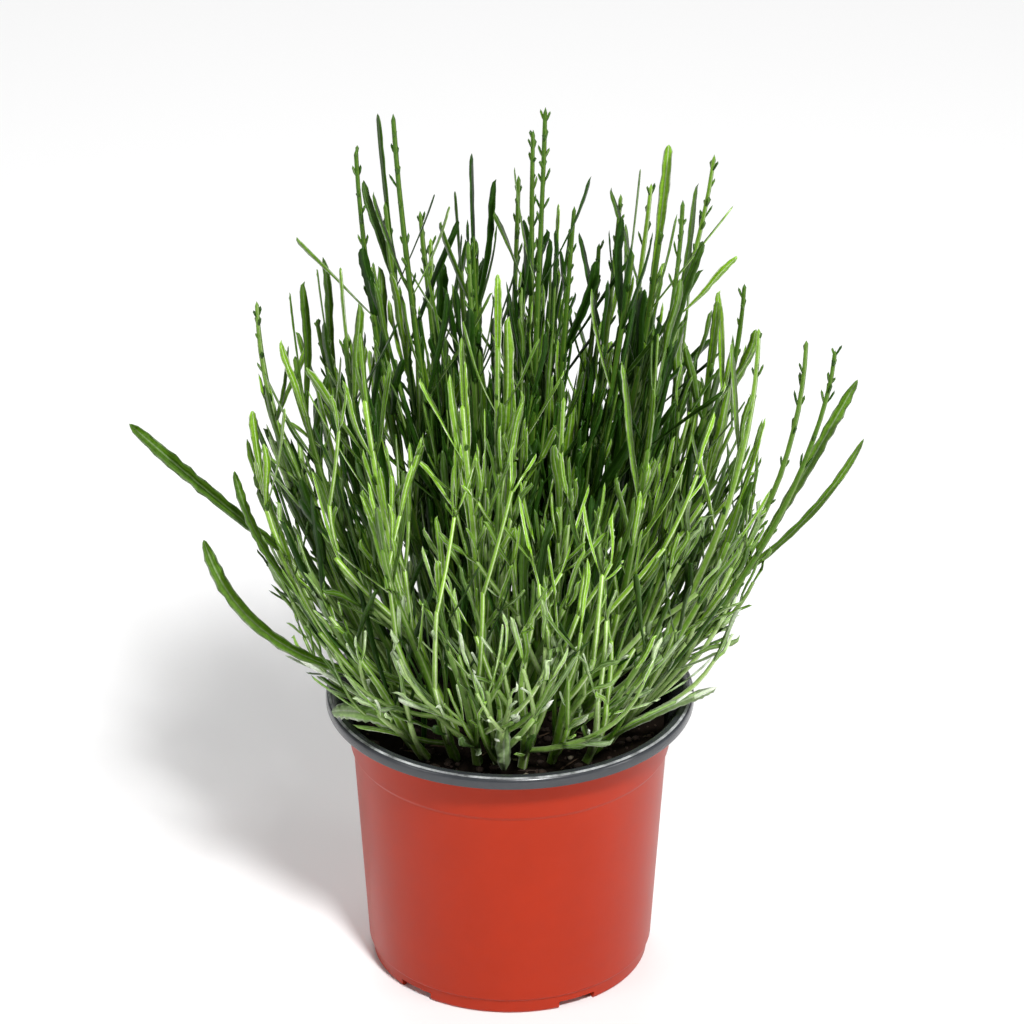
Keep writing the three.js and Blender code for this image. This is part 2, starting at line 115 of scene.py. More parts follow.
POT_HEIGHT = 105
RIM_RADIUS = 65
RIM_INNER_RADIUS = 61.3
LIP_BOTTOM = 100.8
COLLAR_RADIUS = 57.6
COLLAR_BOTTOM = 83
WALL_TOP_RADIUS = 55.5
WALL_BOTTOM_RADIUS = 50.6
FOOT_RADIUS = 49.2
FOOT_BAND = 5.5
FLOOR_LIFT = 2.5
WALL = 1.2
MOUTH_RADIUS = WALL_TOP_RADIUS - WALL
POT_FLOOR = 4.1
POT_STEPS = 144
CREASE = math.radians(14)
SHARP = math.radians(35)
EDGE_ROUNDING = 0.32
NOTCHES = 5
FIRST_NOTCH = math.radians(-61)
NOTCH_SIZE = (8, 14, 6)
SLOT_SIZE = (5, 12, 7.5)
SLOT_INWARDS = 9
TERRACOTTA = (0.385, 0.024, 0.004)
SLATE = (0.036, 0.039, 0.045)
# The painted highlight along the crest of the lip: its colour, how far inside the rim it lies, and
# its half width
CREST_HIGHLIGHT = (0.62, 0.63, 0.65)
CREST_HIGHLIGHT_INWARDS = 1.15
CREST_HIGHLIGHT_HALF_WIDTH = 0.42

# The pot's section, from the middle of its underside out and up the wall, over the lip and down
# the inside to the floor
bm = bmesh.new()
skin = [bm.verts.new((radius, 0, height)) for radius, height in [
    (0, FLOOR_LIFT),
    (FOOT_RADIUS - 2.6, FLOOR_LIFT),
    (FOOT_RADIUS - 2.2, 0),
    (FOOT_RADIUS - 0.8, 0),
    (FOOT_RADIUS, 0.9),
    (FOOT_RADIUS + 0.3, FOOT_BAND),
    (WALL_BOTTOM_RADIUS, FOOT_BAND + 1),
    (WALL_TOP_RADIUS, COLLAR_BOTTOM),
    (WALL_TOP_RADIUS + 1, COLLAR_BOTTOM + 1.4),
    (COLLAR_RADIUS, LIP_BOTTOM - 2.4),
    (COLLAR_RADIUS + 3.4, POT_HEIGHT - WALL - 0.4),
    (RIM_RADIUS - WALL, POT_HEIGHT - WALL - 0.4),
    (RIM_RADIUS - WALL, LIP_BOTTOM),
    (RIM_RADIUS, LIP_BOTTOM),
    (RIM_RADIUS, POT_HEIGHT - 1.6),
    (RIM_RADIUS - 0.25, POT_HEIGHT - 0.8),
    (RIM_RADIUS - 0.8, POT_HEIGHT - 0.25),
    (RIM_RADIUS - 1.6, POT_HEIGHT),
    (RIM_INNER_RADIUS, POT_HEIGHT),
    (COLLAR_RADIUS - WALL, LIP_BOTTOM - 2.8),
    (MOUTH_RADIUS, COLLAR_BOTTOM),
    (FOOT_RADIUS - 1.6, POT_FLOOR),
    (0, POT_FLOOR),
]]
seams = [bm.edges.new(pair) for pair in zip(skin, skin[1:])]
bmesh.ops.spin(bm, geom=skin + seams, cent=(0, 0, 0), axis=(0, 0, 1), angle=2 * math.pi,
               steps=POT_STEPS, use_merge=True)
bmesh.ops.remove_doubles(bm, verts=bm.verts, dist=0.001)
bmesh.ops.recalc_face_normals(bm, faces=bm.faces)
creases = [e for e in bm.edges if e.is_manifold and e.calc_face_angle() > CREASE
           and abs(e.verts[0].co.z - e.verts[1].co.z) < 0.01]
bmesh.ops.bevel(bm, geom=creases, offset=EDGE_ROUNDING, offset_type="OFFSET", segments=2,
                profile=0.5, affect="EDGES", clamp_overlap=True, material=-1)
for face in bm.faces:
    middle = face.calc_center_median()
    outwards = face.normal.x * middle.x + face.normal.y * middle.y
    lip = middle.z > LIP_BOTTOM - 0.2 and middle.to_2d().length > COLLAR_RADIUS + 2.5
    inside = middle.z > COLLAR_BOTTOM + 1 and outwards < 0
    face.material_index = 1 if lip or inside else 0
bmesh.ops.scale(bm, vec=(MM, MM, MM), verts=bm.verts)
pot_mesh = bpy.data.meshes.new("pot_skin")
bm.to_mesh(pot_mesh)
bm.free()


def put(tree, value, socket):
    """Sets a socket to a value, or links it where the value is itself a socket."""
    if isinstance(value, bpy.types.NodeSocket):
        tree.links.new(value, socket)
    else:
        socket.default_value = (*value, 1) if socket.type == "RGBA" else value


def reckoned(tree, operation, *values, clamp=False):
    """The output of a node that does one sum."""
    node = tree.nodes.new("ShaderNodeMath")
    node.operation = operation
    node.use_clamp = clamp
    for value, socket in zip(values, node.inputs):
        put(tree, value, socket)
    return node.outputs[0]


def ranged(tree, value, low, high, to_low=0.0, to_high=1.0, blend="SMOOTHSTEP"):
    """The output of a node that maps low to high on to to_low to to_high."""
    node = tree.nodes.new("ShaderNodeMapRange")
    node.interpolation_type = blend
    for name, given in (("Value", value), ("From Min", low), ("From Max", high),
                        ("To Min", to_low), ("To Max", to_high)):
        put(tree, given, node.inputs[name])
    return node.outputs["Result"]


def mixed(tree, factor, low, high):
    """The output of a node that mixes two colours by a factor."""
    mix = tree.nodes.new("ShaderNodeMix")
    mix.data_type = "RGBA"
    for name, given in (("Factor", factor), ("A", low), ("B", high)):
        put(tree, given, mix.inputs[name])
    return mix.outputs["Result"]


def clouded(tree, where, scale, detail, roughness=0.5):
    """The output of a noise node."""
    node = tree.nodes.new("ShaderNodeTexNoise")
    for name, given in (("Vector", where), ("Scale", scale), ("Detail", detail),
                        ("Roughness", roughness)):
        put(tree, given, node.inputs[name])
    return node.outputs["Fac"]


def grain(name):
    """A shader group: fine mottling that lightens or darkens a colour, and a fine relief."""
    group = bpy.data.node_groups.new(name, "ShaderNodeTree")
    for socket, way, kind in (
            ("Color", "INPUT", "Color"), ("Scale", "INPUT", "Float"),
            ("Contrast", "INPUT", "Float"), ("Relief", "INPUT", "Float"),
            ("Color", "OUTPUT", "Color"), ("Mask", "OUTPUT", "Float"),
            ("Normal", "OUTPUT", "Vector")):
        group.interface.new_socket(socket, in_out=way, socket_type="NodeSocket" + kind)
    given = group.nodes.new("NodeGroupInput").outputs
    gives = group.nodes.new("NodeGroupOutput").inputs
    where = group.nodes.new("ShaderNodeTexCoord")
    tone = group.nodes.new("ShaderNodeHueSaturation")
    bump = group.nodes.new("ShaderNodeBump")
    bump.inputs["Distance"].default_value = 0.0002
    link = group.links.new
    cloud = clouded(group, where.outputs["Object"], given["Scale"], 5, 0.65)
    mottle = ranged(group, cloud, 0.3, 0.7, blend="LINEAR")
    less = reckoned(group, "SUBTRACT", mottle, 0.5)
    change = reckoned(group, "MULTIPLY", less, given["Contrast"])
    link(reckoned(group, "ADD", change, 1), tone.inputs["Value"])
    link(given["Color"], tone.inputs["Color"])
    link(cloud, bump.inputs["Height"])
    link(given["Relief"], bump.inputs["Strength"])
    link(tone.outputs["Color"], gives["Color"])
    link(mottle, gives["Mask"])
    link(bump.outputs["Normal"], gives["Normal"])
    return group


GRAIN = grain("grain")


def speckled(material, colour, scale, contrast, relief):
    """Gives a material a colour with the grain group over it."""
    tree = material.node_tree
    shader = tree.nodes["Principled BSDF"]
    fine = tree.nodes.new("ShaderNodeGroup")
    fine.node_tree = GRAIN
    fine.name = "grain"
    for name, given in (("Color", colour), ("Scale", scale), ("Contrast", contrast),
                        ("Relief", relief)):
        put(tree, given, fine.inputs[name])
    tree.links.new(fine.outputs["Color"], shader.inputs["Base Color"])
    tree.links.new(fine.outputs["Normal"], shader.inputs["Normal"])
    return material


def grained(name, colour, roughness, scale, contrast, relief):
    return speckled(plain_material(name, colour, roughness), colour, scale, contrast, relief)


def glossed(material, level):
    """Sets how strongly a material's surface mirrors."""
    shader = material.node_tree.nodes["Principled BSDF"]
    shader.inputs["Specular IOR Level"].default_value = level
    return material


terracotta = glossed(grained("terracotta_plastic", TERRACOTTA, 0.38, 60, 0.08, 0.05), 0.18)

# The slate plastic has a painted highlight in patches along the crest of the lip
slate = grained("slate_plastic", SLATE, 0.24, 160, 0.25, 0.1)
tree = slate.node_tree
fine = tree.nodes["grain"]
where = tree.nodes.new("ShaderNodeTexCoord")
flat = tree.nodes.new("ShaderNodeVectorMath")
flat.operation = "MULTIPLY"
flat.inputs[1].default_value = (1, 1, 0)
out = tree.nodes.new("ShaderNodeVectorMath")
out.operation = "LENGTH"
tree.links.new(where.outputs["Object"], flat.inputs[0])
tree.links.new(flat.outputs["Vector"], out.inputs[0])
crest = reckoned(tree, "COMPARE", out.outputs["Value"], (RIM_RADIUS - CREST_HIGHLIGHT_INWARDS) * MM,
                 CREST_HIGHLIGHT_HALF_WIDTH * MM)
patchy = reckoned(tree, "MULTIPLY", crest, fine.outputs["Mask"])
painted_crest_highlight = mixed(tree, patchy, fine.outputs["Color"], CREST_HIGHLIGHT)
tree.links.new(painted_crest_highlight, tree.nodes["Principled BSDF"].inputs["Base Color"])
pot_mesh.materials.append(terracotta)
pot_mesh.materials.append(slate)
pot_mesh.shade_smooth()
pot = bpy.data.objects.new("pot_skin", pot_mesh)
bpy.context.collection.objects.link(pot)

# Each notch goes through the foot ring, and its slot through the floor
bm = bmesh.new()
for k in range(NOTCHES):
    turn = Matrix.Rotation(FIRST_NOTCH + k * 2 * math.pi / NOTCHES, 4, "Z")
    for radius, height, size in ((FOOT_RADIUS, 0, NOTCH_SIZE),
                                 (FOOT_RADIUS - SLOT_INWARDS, FLOOR_LIFT, SLOT_SIZE)):
        cut = turn @ Matrix.Translation((radius, 0, height)) @ Matrix.Diagonal((*size, 1))
        bmesh.ops.create_cube(bm, size=1, matrix=cut)
bmesh.ops.scale(bm, vec=(MM, MM, MM), verts=bm.verts)
cutter_mesh = bpy.data.meshes.new("notches")
bm.to_mesh(cutter_mesh)
bm.free()
cutter = bpy.data.objects.new("notches", cutter_mesh)
bpy.context.collection.objects.link(cutter)
cutting = pot.modifiers.new("notches", "BOOLEAN")
cutting.operation = "DIFFERENCE"
cutting.solver = "EXACT"
cutting.object = cutter
cut_pot = pot.evaluated_get(bpy.context.evaluated_depsgraph_get())
cut_mesh = bpy.data.meshes.new_from_object(cut_pot)
pot.modifiers.clear()
pot.data = cut_mesh
bpy.data.objects.remove(cutter)
pot.data.set_sharp_from_angle(angle=SHARP)
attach(pot, "root")
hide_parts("pot")


# The soil: a low mound of dark peat pressed into the pot, with crumbs, fibres and a few pale
# grains lying on it.

SOIL_EDGE = 92
SOIL_RISE = 3.5
CRUMB = 0.8
SOIL_INTO_WALL = 0.3
SOIL_OFF_FLOOR = 0.3
SOIL_STEPS = 150
SOIL_RINGS = 44
LOOSE_CRUMBS = 760
CRUMB_REACH = 53.2
FIBRE_REACH = 46
FIBRE_SIZE = 0.9
FULL_TURN = 6.3
PALE_SHARE = 0.035
BARK_SHARE = 0.88
DRY_FROM = 0.9
PEAT = (0.007, 0.004, 0.0023)
BARK = (0.024, 0.012, 0.006)
FIBRE = (0.07, 0.04, 0.02)
PERLITE = (0.2, 0.17, 0.12)


def soil_height(x, y):
    share = min(1, math.hypot(x, y) / WALL_TOP_RADIUS)
    crumbs = math.sin(x * 0.71 + 1.3) * math.sin(y * 0.83 + 0.4) + math.sin(x * 0.37 - y * 0.53)
    return SOIL_EDGE + SOIL_RISE * (1 - share * share) + CRUMB * crumbs * (1 - share ** 6)


def finished(name, bm, materials, replaced=()):
    """Makes a bmesh in millimetres a piece of the part, smooth, in metres."""
    bmesh.ops.scale(bm, vec=(MM, MM, MM), verts=bm.verts)
    mesh = bpy.data.meshes.new(name)
    bm.to_mesh(mesh)
    bm.free()
    for material in materials:
        mesh.materials.append(material)
    mesh.shade_smooth()
    piece = bpy.data.objects.new(name, mesh)
    bpy.context.collection.objects.link(piece)
    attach(piece, "root")
    if replaced:
        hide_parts(*replaced)
    return piece


bm = bmesh.new()
top = MOUTH_RADIUS + SOIL_INTO_WALL
under = POT_FLOOR + SOIL_OFF_FLOOR
outline = [(0, under), (FOOT_RADIUS - 2.4, under), (MOUTH_RADIUS - 0.6, COLLAR_BOTTOM - 1),
           (top, COLLAR_BOTTOM + 2.5)]
outline += [(top * (1 - k / SOIL_RINGS), SOIL_EDGE) for k in range(SOIL_RINGS + 1)]
rim = [bm.verts.new((radius, 0, height)) for radius, height in outline]
seams = [bm.edges.new(pair) for pair in zip(rim, rim[1:])]
bmesh.ops.spin(bm, geom=rim + seams, cent=(0, 0, 0), axis=(0, 0, 1), angle=2 * math.pi,
               steps=SOIL_STEPS, use_merge=True)
bmesh.ops.remove_doubles(bm, verts=bm.verts, dist=0.001)
bmesh.ops.recalc_face_normals(bm, faces=bm.faces)
for vertex in bm.verts:
    x, y, z = vertex.co
    if z > SOIL_EDGE - 0.01:
        share = math.hypot(x, y) / top
        rough = noise.fractal(Vector((x, y, 3)) * 0.32, 1.0, 2.0, 4) * 1.3
        rough += abs(noise.noise(Vector((x, y, 9)) * 0.9)) * 1.2
        vertex.co.z = soil_height(x, y) + rough * (1 - share ** 8)
peat = glossed(grained("peat", PEAT, 0.9, 900, 0.9, 1.0), 0.1)
finished("soil_mound", bm, [peat], ["soil"])


def uneven(point):
    """Noise in all three directions at a point. Unlike noise.noise_vector, whose noise is new in
    each run, it is always the same."""
    return Vector([noise.noise(point + Vector((away, 0, 0))) for away in (0, 17, 31)])


# The loose bits on top: most are crumbs of bark, some are long fibres and a few are pale grains
bm = bmesh.new()
chance = random.Random(4)
for k in range(LOOSE_CRUMBS):
    out = CRUMB_REACH * math.sqrt(chance.random())
    turn = chance.uniform(0, 2 * math.pi)
    x, y = out * math.cos(turn), out * math.sin(turn)
    size = 0.45 + 1.5 * chance.random() ** 3
    kind = chance.random()
    stretch = (1, 1, 0.7)
    if kind >= BARK_SHARE:
        stretch, size = (4 + 4 * chance.random(), 0.4, 0.35), FIBRE_SIZE
        if out > FIBRE_REACH:
            continue
    place = Matrix.Translation((x, y, soil_height(x, y) + 0.55 * size)) @ Matrix.Rotation(
        chance.uniform(0, FULL_TURN), 4, "Z") @ Matrix.Rotation(
        chance.uniform(-0.3, 0.3), 4, "Y") @ Matrix.Diagonal((*(size * s for s in stretch), 1))
    made = bmesh.ops.create_icosphere(bm, subdivisions=1, radius=1, matrix=place)
    for vertex in made["verts"]:
        vertex.co += 0.3 * size * uneven(vertex.co * 1.3)
    pick = 1 if kind > DRY_FROM else 2 if kind < PALE_SHARE else 0
    for face in {face for vertex in made["verts"] for face in vertex.link_faces}:
        face.material_index = pick
bark = grained("bark_crumb", BARK, 0.9, 700, 0.8, 0.9)
fibre = grained("dry_fibre", FIBRE, 0.85, 600, 0.6, 0.5)
perlite = grained("pale_grain", PERLITE, 0.9, 500, 0.4, 0.6)
finished("soil_crumbs", bm, [bark, fibre, perlite])


# The leafy stems: square green stems rooted close together in the soil, each with opposite pairs
# of narrow felted leaves. Some end in a young flower spike of small scales, the others in a
# blade. Each grows where the solid of its name stands, by the rule that the solid grew by.

STEM_FOOT_RADIUS = 1.5
STEM_TIP_RADIUS = 0.75
STEM_STATIONS = [0, 0.16, 0.36, 0.6, 0.84]
SWAY = 2.4
SWAY_REACH = 90
LEAF_LENGTH = 50
LEAF_WIDTH = 4.4
KEEL = 0.66
LEAF_TRIES = 12
BUSH = {"half_width": 90, "half_depth": 86, "widest_at": 195, "crown": 185}

# Every shoot: its tip across and behind the pot's middle, its height, how far it sprawls outwards
# before it rises, and whether it ends in a spike
SHOOTS = [
    # Tall shoots of the crown, from left to right
    (-52, 8, 309, 1.5, True),
    (-45, 26, 314, 1.3, False),
    (-39, -6, 328, 1.3, True),
    (-31, 34, 274, 1.2, True),
    (-19, 44, 277, 0.9, False),
    (-14, -12, 284, 1.2, True),
    (-13, 22, 301, 1.6, False),
    (3, 57, 277, 1.2, True),
    (8, 34, 304.5, 1.2, True),
    (12, 4, 326, 1.1, True),
    (17, 62, 264, 0.9, False),
    (22, 16, 284, 1.1, True),
    (31, 42, 258, 1.2, True),
    (38, 26, 284, 1.3, True),
    (44, -2, 306, 1.3, False),
    (49, 48, 278, 1.3, True),
    (54, 18, 306, 1.4, False),
    (58, -14, 300, 1.6, True),
    (70, 30, 297, 1.2, True),
    # Right flank
    (63, 54, 236, 1.6, False),
    (71, 8, 252, 1.9, False),
    (81, 26, 250, 1.8, True),
    (84, -22, 256, 2.0, True),
    (74, 46, 208, 1.3, False),
    (102, 10, 236, 1.9, True),
    (111, -6, 240, 1.6, True),
    (78, -42, 200, 1.3, False),
    # Left flank
    (-87, 14, 249, 1.9, True),
    (-75, -2, 260, 1.8, False),
    (-67, 36, 251, 1.7, False),
    (-57, -14, 275, 1.8, False),
    (-88, -16, 222, 2.0, False),
    (-80, 34, 186, 1.1, False),
    (-72, -46, 190, 1.3, False),
    # Front, bright shoots over paler low ones
    (-4, -32, 281, 1.4, False),
    (-16, -54, 268, 1.7, False),
    (-50, -42, 264, 1.8, False),
    (18, -56, 247, 1.7, True),
    (48, -48, 246, 1.8, False),
    (33, -76, 212, 1.3, False),
    (-44, -72, 214, 1.3, False),
    (-24, -76, 196, 1.3, False),
    (8, -78, 190, 1.3, False),
    (54, -66, 176, 1.1, False),
    (-56, -60, 160, 1.1, False),
    (-6, -66, 150, 1.1, False),
    # Back of the bush
    (-68, 56, 222, 1.3, True),
    (-50, 68, 204, 1.3, False),
    (-28, 72, 246, 1.6, True),
    (-6, 78, 212, 1.3, False),
    (20, 80, 226, 1.8, True),
    (44, 72, 212, 1.3, False),
    (64, 62, 200, 1.3, False),
    (-34, 76, 160, 1.1, False),
    (4, 66, 156, 1.1, False),
    (68, 24, 172, 1.1, True),
]

# Long leaves that stand out of the bush: shoot, how far up it, elbow, tip, width
REACHING = [
    (31, 0.6, (-98, -22, 188), (-129, -30, 224), 6),
    (31, 0.45, (-88, -26, 172), (-94, -26, 204), 4),
    (33, 0.4, (-94, -42, 144), (-104, -44, 187), 6),
    (25, 0.5, (98, 2, 180), (120, 8, 222), 5),
    (55, 0.35, (102, 34, 136), (125, 40, 183), 3.6),
    (43, 0.2, (56, -34, 118), (72, -14, 112), 2.8),
    (45, 0.45, (-2, -56, 122), (-2, -50, 99.5), 4.6),
    (44, 0.32, (-50, -44, 122), (-62, -30, 112), 5),
]
BY_RIM = (43, 44, 45)

# The shoots in front that catch the light, and how much brighter they are than the rest
BRIGHT = {34: 0.4, 35: 0.5, 36: 0.25, 37: 0.1, 38: 0.15, 41: 0.05, 42: 0.05, 45: 0.05}


def draw(shoot, leaf, question):
    """A number from 0 to 1 that belongs to one shoot, one leaf of it and one question. The large
    odd numbers only stir the three together."""
    h = (shoot + 1) * 374761393 + (leaf + 1) * 668265263 + (question + 1) * 2246822519
    h &= 0xFFFFFFFF
    h = (h ^ (h >> 15)) * 2246822519 & 0xFFFFFFFF
    h = (h ^ (h >> 13)) * 3266489917 & 0xFFFFFFFF
    return (h ^ (h >> 16)) / 4294967296


def lerp(low, high, share):
    return low + (high - low) * share


def along(stem, share):
    """The point of a stem at a share of its height."""
    share = min(1, share)
    out = 1 - (1 - share) ** stem["sprawl"]
    sway = SWAY * math.sin(math.pi * share) * math.sin(2 * math.pi * (share + stem["phase"]))
    foot, tip = stem["foot"], stem["tip"]
    return Vector((
        foot.x + (tip.x - foot.x) * out + sway * tip.y / SWAY_REACH,
        foot.y + (tip.y - foot.y) * out - sway * tip.x / SWAY_REACH,
        foot.z + (tip.z - foot.z) * share,
    ))


def direction(stem, share):
    return (along(stem, share + 0.01) - along(stem, share - 0.01)).normalized()


def level_out(turn):
    """The level unit vector at a turn round the plant."""
    return Vector((math.cos(turn), math.sin(turn), 0))


def square_out(turn, axis):
    """The unit vector at a turn round the plant that is square to an axis."""
    out = level_out(turn)
    return (out - axis * out.dot(axis)).normalized()


def on_stem(stem, share):
    """A point on the axis of the solid stem's straight lengths, where leaves take root."""
    at = min(share / stem["end"], STEM_STATIONS[-1])
    later = max(1, next(k for k, station in enumerate(STEM_STATIONS) if station >= at))
    low, high = STEM_STATIONS[later - 1], STEM_STATIONS[later]
    start, stop = along(stem, low * stem["end"]), along(stem, high * stem["end"])
    return start.lerp(stop, (at - low) / (high - low))


def bend(root, elbow, tip, share):
    """The point at a share of a curve from a root past an elbow to a tip."""
    rest = 1 - share
    return root * (rest * rest) + elbow * (2 * rest * share) + tip * (share * share)


def paired_leaf(stem, level, hand, attempt):
    """The root, elbow, tip, upward side and width of a leaf, or of another try at it."""
    leaf = level * 2 + hand
    index = stem["index"]
    share = lerp(stem["first_pair"], stem["last_pair"], level / (stem["levels"] - 1))
    turn = stem["twist"] + (level % 2) * math.pi / 2 + hand * math.pi
    turn += (draw(index, leaf, 1) - 0.5) * 0.7 + attempt * 0.9 * (1 if attempt % 2 else -1)
    up = (direction(stem, share) + Vector((0, 0, 0.25))).normalized()
    out = square_out(turn, up)
    size = 1 - 0.4 * abs(level / stem["levels"] - 0.35) - 0.05 * attempt
    half = LEAF_LENGTH / 2 * size * (0.8 + 0.4 * draw(index, leaf, 2))
    opens = 0.3 + 0.25 * draw(index, leaf, 3) + 0.3 * (1 - share)
    ends = opens - 0.35 + 0.35 * draw(index, leaf, 4)
    root = on_stem(stem, share)
    elbow = root + (up * math.cos(opens) + out * math.sin(opens)) * half
    tip = elbow + (up * math.cos(ends) + out * math.sin(ends)) * half
    return root, elbow, tip, up, LEAF_WIDTH * (0.75 + 0.45 * draw(index, leaf, 5))


def end_blade(stem):
    """The same for the blade at the end of a stem that has no spike."""
    up = direction(stem, stem["end"])
    lean = level_out(stem["twist"])
    width = LEAF_WIDTH * (0.9 + 0.3 * draw(stem["index"], 90, 5))
    return (on_stem(stem, stem["end"]), along(stem, (stem["end"] + 1) / 2), along(stem, 1),
            lean - 0.2 * up, width)


CLEAR_OF_RIM = 0.4
CLEAR_OF_SOIL = 0.8


def in_the_way(point, radius):
    """Whether a twig or leaf would run into the rim, the wall or the soil there."""
    out = point.to_2d().length
    if MOUTH_RADIUS - radius - CLEAR_OF_RIM < out < RIM_RADIUS + radius + CLEAR_OF_RIM:
        return point.z < POT_HEIGHT + radius + CLEAR_OF_RIM
    return out < MOUTH_RADIUS and point.z < soil_height(point.x, point.y) + radius + CLEAR_OF_SOIL


def in_bush(point, room=1.0):
    """Whether a tip stays in the round form of the bush."""
    rise = (point.z - BUSH["widest_at"]) / BUSH["crown"]
    across, behind = point.x / BUSH["half_width"], point.y / BUSH["half_depth"]
    return across * across + behind * behind + rise * rise < room * room


MARKS = ("along", "across", "tint", "pale")
BALLS = {}


def ball(sides, steps, material):
    """A ball whose rings are moved to make a leaf or stem, and each vertex's ring and side."""
    key = sides, steps, material
    if key not in BALLS:
        bm = bmesh.new()
        for mark in MARKS:
            bm.verts.layers.float.new(mark)
        bmesh.ops.create_uvsphere(bm, u_segments=sides, v_segments=steps, radius=1)
        for face in bm.faces:
            face.material_index = material
        spots = [(round(math.acos(max(-1, min(1, -v.co.z))) / math.pi * steps),
                  round(math.atan2(v.co.y, v.co.x) / (2 * math.pi) * sides) % sides)
                 for v in bm.verts]
        mesh = bpy.data.meshes.new("ball")
        bm.to_mesh(mesh)
        bm.free()
        BALLS[key] = mesh, spots
    return BALLS[key]


def grown(bodies):
    """A bmesh of bodies. Each is a kind of ball, its rings of (place, across) from pole to pole,
    the shares of its length at which they lie, and its tint and paleness."""
    bm = bmesh.new()
    for kind, *_ in bodies:
        bm.from_mesh(ball(*kind)[0])
    layers = [bm.verts.layers.float[mark] for mark in MARKS]
    vertices = iter(bm.verts)
    for kind, rings, shares, tint, pale in bodies:
        for ring, side in ball(*kind)[1]:
            vertex = next(vertices)
            place, across = rings[ring][side % len(rings[ring])]
            vertex.co = place
            for layer, value in zip(layers, (shares[ring], across, tint, pale)):
                vertex[layer] = value
    return bm


# Points round a leaf, as shares of its half width and of its thickness. A broad leaf has rolled
# edges and two raised halves with a groove between them; a narrow one has a ridge. Both have the
# midrib below. The form is how wide a leaf is at a share of its length, against its full width.
BROAD = [(1, -0.25), (0.58, 0.3), (0, 0.02), (-0.58, 0.3), (-1, -0.25), (0, -0.7)]
NARROW = [(1, -0.1), (0, 0.85), (-1, -0.1), (0, -0.75)]
LEAF_FORM = [(0, 0.45), (0.1, 0.62), (0.35, 0.84), (0.68, 1), (0.85, 0.95), (0.94, 0.74),
             (0.985, 0.4), (1, 0)]
TOOTH = 0.07
TOOTH_CHANCE = 0.11
SQUARE = 0.1
KNOBBLY = 0.25


def leaf_share(at):
    for (low, wide), (high, wider) in zip(LEAF_FORM, LEAF_FORM[1:]):
        if at <= high:
            return lerp(wide, wider, (at - low) / (high - low))
    return 0


def leaf_body(chance, line, up, width, shade, steps, points=BROAD, roll=0.0, wave=0.0):
    """A leaf along line, its root, elbow and tip. Its edges are uneven, with low blunt teeth."""
    rings, shares = [], [0] + [1 - 0.97 * (1 - k / (steps - 1)) ** 1.4 for k in range(steps)]
    phase = chance.uniform(0, FULL_TURN)
    for k, at in enumerate(shares):
        centre = bend(*line, at)
        tangent = (bend(*line, min(1, at + 0.03)) - bend(*line, max(0, at - 0.03))).normalized()
        face = (up - tangent * up.dot(tangent)).normalized()
        side = tangent.cross(face)
        turned = roll * at
        face, side = (face * math.cos(turned) + side * math.sin(turned),
                      side * math.cos(turned) - face * math.sin(turned))
        centre += side * (wave * at * math.sin(phase + 6 * at))
        wide = leaf_share(at)
        thick = (0.4 + 0.12 * width) * math.sqrt(wide)
        half = width / 2 * wide
        tooth = [1 + (TOOTH if k % 2 else -TOOTH) + chance.uniform(-TOOTH_CHANCE, TOOTH_CHANCE)
                 for _ in range(2)]
        rings.append([(centre + side * (half * a * tooth[a > 0]) + face * (thick * b), a)
                      for a, b in points])
    rings[0] = [(line[0], 0)]
    rings[-1] = [(line[2], 0)]
    return (len(points), steps, 0), rings, shares, *shade


def stem_body(path, low_radius, high_radius, steps, shade, sides=8):
    """A stem along path(share), a little square in section."""
    rings, shares = [], [0] + [lerp(0.01, 0.99, k / (steps - 2)) for k in range(steps - 1)] + [1]
    for at in shares:
        centre = path(at)
        tangent = (path(min(1, at + 0.02)) - path(max(0, at - 0.02))).normalized()
        side = Vector((0.3, 1, 0)).cross(tangent).normalized()
        back = tangent.cross(side)
        ring = []
        for k in range(sides):
            turn = k * 2 * math.pi / sides
            knobbly = KNOBBLY * noise.noise(0.4 * centre + Vector((k, 0, 0)))
            out = lerp(low_radius, high_radius, at) * (1 + knobbly + (SQUARE if k % 2 else -SQUARE))
            place = centre + side * (out * math.cos(turn)) + back * (out * math.sin(turn))
            ring.append((place, k % 2))
        rings.append(ring)
    rings[0] = [(path(0), 0)]
    rings[-1] = [(path(1), 0)]
    return (sides, steps, 1), rings, shares, *shade


def greenness(point, chance, own=0.0, silver=0.0):
    """How bright a leaf there is, and how pale: inner ones are painted dark as shade, outer ones
    and those in front painted bright as if lit, low outer ones silvery.
    """
    edge = 45 + 45 * max(0, min(1, (point.z - 95) / 80)) - 20 * max(0, (point.z - 190) / 110)
    out = min(1, math.hypot(point.x, point.y) / edge)
    front = max(0, min(1, (30 - point.y) / 70))
    low = max(0, min(1, (200 - point.z) / 90))
    own *= 1 - 0.5 * low if own > 0 else 1
    # Painted light and shade: leaves far out from the middle of the bush, and those in front, are
    # brighter
    sunlit = (0.38 - 0.22 * low) * out ** 3 + 0.14 * front * out ** 2
    tint = sunlit + own + 0.9 * chance.random() ** 3
    tint -= 0.11 + 0.12 * low
    pale = low * (out * 0.1 * front + 0.7 * chance.random() ** 4 + silver) + 0.15 * own - 0.1
    return max(0, min(1, tint)), max(0, min(1, pale))


LOWEST_LEAF = 100
NO_TOP = 400


